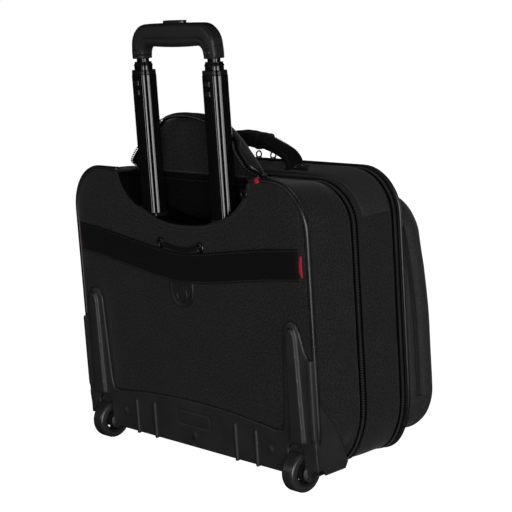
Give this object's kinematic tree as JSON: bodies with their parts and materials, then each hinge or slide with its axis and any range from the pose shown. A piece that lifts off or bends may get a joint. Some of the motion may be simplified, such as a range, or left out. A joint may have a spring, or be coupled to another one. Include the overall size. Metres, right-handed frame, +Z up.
{
  "type": "rolling laptop case",
  "caption": "Soft-sided rolling laptop case with a telescopic handle, moulded base guard with two wheels, front pocket, carry handle and zipped compartments.",
  "frame": {"origin": "on the floor under the middle of the object's box, with the handle as in the rest pose", "axes": "+Z up, +Y towards the back with the telescopic handle and wheels, +X to the right seen from the front"},
  "size_m": [0.436, 0.246, 0.5585],
  "materials": {
    "case_fabric": "fine charcoal weave",
    "lining": "woven lining",
    "piping": "coated piping",
    "webbing": "ribbed webbing",
    "red_tag": "red ribbon",
    "board": "board",
    "guard": "satin moulded",
    "grip": "fine grain",
    "tube": "black anodised, glossy",
    "tube_plastic": "moulded",
    "button": "gloss",
    "steel": "zinc plated",
    "dark_steel": "blackened",
    "tyre": "polyurethane, satin",
    "hub": "gloss moulded",
    "zip": "coil zip tape",
    "slider": "black lacquer",
    "badge": "moulded rubber",
    "foot": "moulded rubber"
  },
  "bodies": {
    "case": {"back_panel": "case_fabric", "rear_gusset": "case_fabric", "back_piping": "piping", "frame_board": "board", "handle_well": "case_fabric", "base_guard": "guard", "guard_screws": "dark_steel", "axle_bolts": "steel", "fixed_tubes": "tube", "fixed_collars": "tube_plastic", "tube_bracket": "tube_plastic", "main_zip_rear": "zip", "laptop_sleeve": "lining", "sleeve_band": "webbing", "band_tags": "red_tag", "band_studs": "dark_steel", "badge_tab": "badge"},
    "wheel_left": {"tyre_left": "tyre", "hub_left": "hub", "bearings_left": "steel"},
    "wheel_right": {"tyre_right": "tyre", "hub_right": "hub", "bearings_right": "steel"},
    "first_stage": {"first_tubes": "tube", "first_collars": "tube_plastic"},
    "second_stage": {"second_tubes": "tube", "second_collars": "tube_plastic"},
    "third_stage": {"third_tubes": "tube", "grip_cover": "grip", "grip_base": "grip", "grip_screws": "dark_steel", "button_spring": "steel"},
    "button": {"release_button": "button", "release_bar": "steel"},
    "shell": {"main_gusset": "case_fabric", "divider_panel": "lining", "main_zip_front": "zip", "front_zip_rear": "zip", "front_feet": "foot", "foot_screws": "steel", "carry_anchors": "dark_steel"},
    "front": {"front_panel": "case_fabric", "front_piping": "piping", "front_zip_front": "zip", "pocket_gusset": "case_fabric", "pocket_zip_rear": "zip"},
    "pocket": {"pocket_cover": "case_fabric", "pocket_zip_front": "zip"},
    "flap": {"flap_panel": "case_fabric", "flap_zip": "zip"},
    "carry_handle": {"carry_strap": "webbing", "carry_wrap": "webbing"},
    "main_slider_body": {"main_slider": "slider"},
    "main_pull_body": {"main_pull": "slider"},
    "front_slider_body": {"front_slider": "slider"},
    "front_pull_body": {"front_pull": "slider"},
    "pocket_slider_body": {"pocket_slider": "slider"},
    "pocket_pull_body": {"pocket_pull": "slider"},
    "flap_slider_body": {"flap_slider": "slider"},
    "flap_pull_body": {"flap_pull": "slider"}
  },
  "joints": [
    {"name": "wheel_left_spin", "type": "hinge", "parent": "case", "child": "wheel_left", "pos_m": [-0.1835, 0.098, 0.025], "axis": [1, 0, 0], "continuous": true},
    {"name": "wheel_right_spin", "type": "hinge", "parent": "case", "child": "wheel_right", "pos_m": [0.1835, 0.098, 0.025], "axis": [1, 0, 0], "continuous": true},
    {"name": "handle_first", "type": "slide", "parent": "case", "child": "first_stage", "axis": [0, 0, 1], "range_m": [-0.173, 0]},
    {"name": "handle_second", "type": "slide", "parent": "first_stage", "child": "second_stage", "axis": [0, 0, 1], "range_m": [-0.0045, 0.19]},
    {"name": "handle_third", "type": "slide", "parent": "second_stage", "child": "third_stage", "axis": [0, 0, 1], "range_m": [-0.0035, 0.19]},
    {"name": "button_push", "type": "slide", "parent": "third_stage", "child": "button", "axis": [0, 0, -1], "range_m": [0, 0.004], "stiffness_N_per_m": 700, "springref_m": -0.003, "deforming": ["button_spring"]},
    {"name": "main_opening", "type": "hinge", "parent": "case", "child": "shell", "pos_m": [0, 0.02, 0.022], "axis": [1, 0, 0], "range_deg": [0, 90]},
    {"name": "front_opening", "type": "hinge", "parent": "shell", "child": "front", "pos_m": [0, -0.052, 0.022], "axis": [1, 0, 0], "range_deg": [0, 80]},
    {"name": "pocket_opening", "type": "hinge", "parent": "front", "child": "pocket", "pos_m": [0, -0.081, 0.038], "axis": [1, 0, 0], "range_deg": [0, 50]},
    {"name": "flap_hinge", "type": "hinge", "parent": "case", "child": "flap", "pos_m": [0, 0.06, 0.3672], "axis": [1, 0, 0], "range_deg": [-2, 25]},
    {"name": "carry_hinge", "type": "hinge", "parent": "shell", "child": "carry_handle", "pos_m": [0, -0.015, 0.3715], "axis": [1, 0, 0], "range_deg": [-35, 35]},
    {"name": "main_slider_travel", "type": "slide", "parent": "case", "child": "main_slider_body", "axis": [1, 0, 0], "range_m": [0, 0.13]},
    {"name": "main_pull_swing", "type": "hinge", "parent": "main_slider_body", "child": "main_pull_body", "pos_m": [0.014, 0.02, 0.3647], "axis": [0, 1, 0], "range_deg": [-85, 85]},
    {"name": "front_slider_travel", "type": "slide", "parent": "shell", "child": "front_slider_body", "axis": [1, 0, 0], "range_m": [0, 0.13]},
    {"name": "front_pull_swing", "type": "hinge", "parent": "front_slider_body", "child": "front_pull_body", "pos_m": [0.016, -0.052, 0.3707], "axis": [0, 1, 0], "range_deg": [-85, 85]},
    {"name": "pocket_slider_travel", "type": "slide", "parent": "front", "child": "pocket_slider_body", "axis": [1, 0, 0], "range_m": [0, 0.13]},
    {"name": "pocket_pull_swing", "type": "hinge", "parent": "pocket_slider_body", "child": "pocket_pull_body", "pos_m": [0.012, -0.081, 0.3307], "axis": [0, 1, 0], "range_deg": [-85, 85]},
    {"name": "flap_slider_travel", "type": "slide", "parent": "case", "child": "flap_slider_body", "axis": [0, -1, 0], "range_m": [0, 0.02]},
    {"name": "flap_pull_swing", "type": "hinge", "parent": "flap_slider_body", "child": "flap_pull_body", "pos_m": [-0.132, 0.0852, 0.3707], "axis": [1, 0, 0], "range_deg": [-85, 85]}
  ]
}
